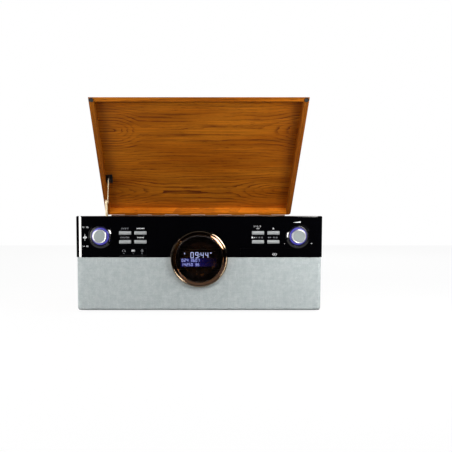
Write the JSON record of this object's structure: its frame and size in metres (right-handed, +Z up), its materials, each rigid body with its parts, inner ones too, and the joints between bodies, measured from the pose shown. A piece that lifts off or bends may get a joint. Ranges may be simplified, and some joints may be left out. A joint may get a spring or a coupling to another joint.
{
  "type": "stereo music centre",
  "caption": "Retro stereo music centre: wooden case with a lidded record deck, disc drawer, round radio display, knobs, keys and cloth-covered speakers.",
  "frame": {"origin": "centre of the whole object's bounding box with the lid open, on the surface that the feet stand on", "axes": "+Z up, +X to the listener's right across the front, the fascia faces -Y"},
  "size_m": [0.455, 0.3768, 0.4183],
  "materials": {
    "oak_veneer": "satin stained oak veneer",
    "raw_board": "plain fibreboard",
    "black_gloss": "piano black",
    "black_matte": "fine texture",
    "dark_tray": "smooth",
    "grille_fabric": "fine plain weave",
    "mat_rubber": "ribbed",
    "bronze_trim": "metallised bronze",
    "smoked_lens": "smoked",
    "screen": "dark screen",
    "silver": "fine satin",
    "blue_light": "lit from behind",
    "steel": "plated",
    "black_steel": "black paint",
    "bright_alloy": "turned",
    "headshell_black": "moulded",
    "bearing_brass": "turned",
    "rubber": "soft",
    "circuit_board": "solder mask",
    "socket_shell": "plated",
    "cone_paper": "pressed pulp",
    "hub_white": "moulded"
  },
  "bodies": {
    "cabinet": {"side_panels": "oak_veneer", "feet": "rubber", "bottom_panel": "raw_board", "back_panel": "raw_board", "front_baffle": "raw_board", "fascia": "black_gloss", "knob_light_rings": "blue_light", "grille_frame": "black_matte", "grille_cloth": "grille_fabric", "display_bezel": "bronze_trim", "display_lens": "smoked_lens", "display_module": "screen", "control_boards": "circuit_board", "port_board": "circuit_board", "speaker_baskets": "black_matte", "speaker_cones": "cone_paper", "deck_tray": "black_matte", "platter_bearing": "bearing_brass", "turntable_motor": "steel", "drive_belt": "rubber", "tonearm_base": "black_matte", "arm_rest": "black_matte", "cd_chassis": "black_matte", "main_board": "circuit_board", "rear_plate": "black_matte", "rear_sockets": "socket_shell", "back_screws": "steel", "hinge_cabinet_leaf": "steel", "stay_lower_bracket": "black_steel"},
    "lid": {"lid_panel": "oak_veneer", "lid_rails": "oak_veneer", "lid_bumpers": "rubber", "hinge_lid_leaf": "steel", "stay_upper_bracket": "black_steel"},
    "stay_lower": {"stay_lower_arm": "steel"},
    "stay_upper": {"stay_upper_arm": "steel"},
    "platter_set": {"platter": "bright_alloy", "slipmat": "mat_rubber"},
    "pulley": {"motor_pulley": "steel"},
    "yoke": {"tonearm_yoke": "steel"},
    "tonearm": {"tonearm_tube": "bright_alloy", "counterweight": "bright_alloy", "headshell": "headshell_black"},
    "clip": {"arm_clip": "black_matte"},
    "cue": {"cue_lever": "black_matte"},
    "selector": {"speed_selector": "black_matte"},
    "cd_drawer": {"cd_tray": "dark_tray", "cd_drawer_front": "black_gloss"},
    "hub": {"cd_hub": "hub_white"},
    "flap": {"port_flap": "black_gloss"},
    "left_dial": {"left_knob": "silver"},
    "right_dial": {"right_knob": "silver"},
    "left_upper_inner_key": {"left_upper_inner_button": "silver"},
    "left_upper_outer_key": {"left_upper_outer_button": "silver"},
    "left_lower_inner_key": {"left_lower_inner_button": "silver"},
    "left_lower_outer_key": {"left_lower_outer_button": "silver"},
    "right_upper_inner_key": {"right_upper_inner_button": "silver"},
    "right_upper_outer_key": {"right_upper_outer_button": "silver"},
    "right_lower_inner_key": {"right_lower_inner_button": "silver"},
    "right_lower_outer_key": {"right_lower_outer_button": "silver"}
  },
  "joints": [
    {"name": "lid_hinge", "type": "hinge", "parent": "cabinet", "child": "lid", "pos_m": [0, 0.17152, 0.1795], "axis": [-1, 0, 0], "range_deg": [-45, 0]},
    {"name": "stay_foot_pivot", "type": "hinge", "parent": "cabinet", "child": "stay_lower", "pos_m": [-0.2074, 0.09952, 0.1295], "axis": [-1, 0, 0], "range_deg": [-61, 0.5]},
    {"name": "stay_head_pivot", "type": "hinge", "parent": "lid", "child": "stay_upper", "pos_m": [-0.2042, 0.10251, 0.26181], "axis": [-1, 0, 0], "range_deg": [-0.5, 79.5]},
    {"name": "platter_spin", "type": "hinge", "parent": "cabinet", "child": "platter_set", "pos_m": [-0.045, -0.00038, 0.145], "axis": [0, 0, 1], "continuous": true},
    {"name": "pulley_spin", "type": "hinge", "parent": "cabinet", "child": "pulley", "pos_m": [-0.10298, 0.05761, 0.145], "axis": [0, 0, 1], "continuous": true},
    {"name": "tonearm_swing", "type": "hinge", "parent": "cabinet", "child": "yoke", "pos_m": [0.135, 0.09162, 0.168], "axis": [0, 0, -1], "range_deg": [0, 48]},
    {"name": "tonearm_lift", "type": "hinge", "parent": "yoke", "child": "tonearm", "pos_m": [0.135, 0.09162, 0.168], "axis": [-1, 0, 0], "range_deg": [0, 7]},
    {"name": "cue_lever_pivot", "type": "hinge", "parent": "cabinet", "child": "cue", "pos_m": [0.165, 0.06762, 0.1535], "axis": [-1, 0, 0], "range_deg": [0, 49]},
    {"name": "arm_clip_pivot", "type": "hinge", "parent": "cabinet", "child": "clip", "pos_m": [0.1415, -0.04838, 0.1744], "axis": [0, -1, 0], "range_deg": [0, 180]},
    {"name": "speed_slide", "type": "slide", "parent": "cabinet", "child": "selector", "axis": [0, 1, 0], "range_m": [0, 0.012]},
    {"name": "drawer_slide", "type": "slide", "parent": "cabinet", "child": "cd_drawer", "axis": [0, -1, 0], "range_m": [0, 0.134]},
    {"name": "hub_spin", "type": "hinge", "parent": "cabinet", "child": "hub", "pos_m": [0.139, -0.10798, 0.1074], "axis": [0, 0, 1], "continuous": true},
    {"name": "port_flap_hinge", "type": "hinge", "parent": "cabinet", "child": "flap", "pos_m": [-0.1216, -0.17388, 0.107], "axis": [1, 0, 0], "range_deg": [0, 90]},
    {"name": "left_knob_turn", "type": "hinge", "parent": "cabinet", "child": "left_dial", "pos_m": [-0.1813, -0.17538, 0.1423], "axis": [0, -1, 0], "continuous": true},
    {"name": "right_knob_turn", "type": "hinge", "parent": "cabinet", "child": "right_dial", "pos_m": [0.1813, -0.17538, 0.1423], "axis": [0, -1, 0], "range_deg": [-150, 150]},
    {"name": "left_upper_inner_press", "type": "slide", "parent": "cabinet", "child": "left_upper_inner_key", "axis": [0, 1, 0], "range_m": [0, 0.0012], "stiffness_N_per_m": 300, "springref_m": -0.0005},
    {"name": "left_upper_outer_press", "type": "slide", "parent": "cabinet", "child": "left_upper_outer_key", "axis": [0, 1, 0], "range_m": [0, 0.0012], "stiffness_N_per_m": 300, "springref_m": -0.0005},
    {"name": "left_lower_inner_press", "type": "slide", "parent": "cabinet", "child": "left_lower_inner_key", "axis": [0, 1, 0], "range_m": [0, 0.0012], "stiffness_N_per_m": 300, "springref_m": -0.0005},
    {"name": "left_lower_outer_press", "type": "slide", "parent": "cabinet", "child": "left_lower_outer_key", "axis": [0, 1, 0], "range_m": [0, 0.0012], "stiffness_N_per_m": 300, "springref_m": -0.0005},
    {"name": "right_upper_inner_press", "type": "slide", "parent": "cabinet", "child": "right_upper_inner_key", "axis": [0, 1, 0], "range_m": [0, 0.0012], "stiffness_N_per_m": 300, "springref_m": -0.0005},
    {"name": "right_upper_outer_press", "type": "slide", "parent": "cabinet", "child": "right_upper_outer_key", "axis": [0, 1, 0], "range_m": [0, 0.0012], "stiffness_N_per_m": 300, "springref_m": -0.0005},
    {"name": "right_lower_inner_press", "type": "slide", "parent": "cabinet", "child": "right_lower_inner_key", "axis": [0, 1, 0], "range_m": [0, 0.0012], "stiffness_N_per_m": 300, "springref_m": -0.0005},
    {"name": "right_lower_outer_press", "type": "slide", "parent": "cabinet", "child": "right_lower_outer_key", "axis": [0, 1, 0], "range_m": [0, 0.0012], "stiffness_N_per_m": 300, "springref_m": -0.0005}
  ],
  "couplings": [
    {"joint": "stay_foot_pivot", "follows": "lid_hinge", "ratio": 1.3416},
    {"joint": "stay_head_pivot", "follows": "lid_hinge", "ratio": -1.7531},
    {"joint": "pulley_spin", "follows": "platter_spin", "ratio": 12},
    {"joint": "cue_lever_pivot", "follows": "tonearm_lift", "ratio": 7}
  ]
}
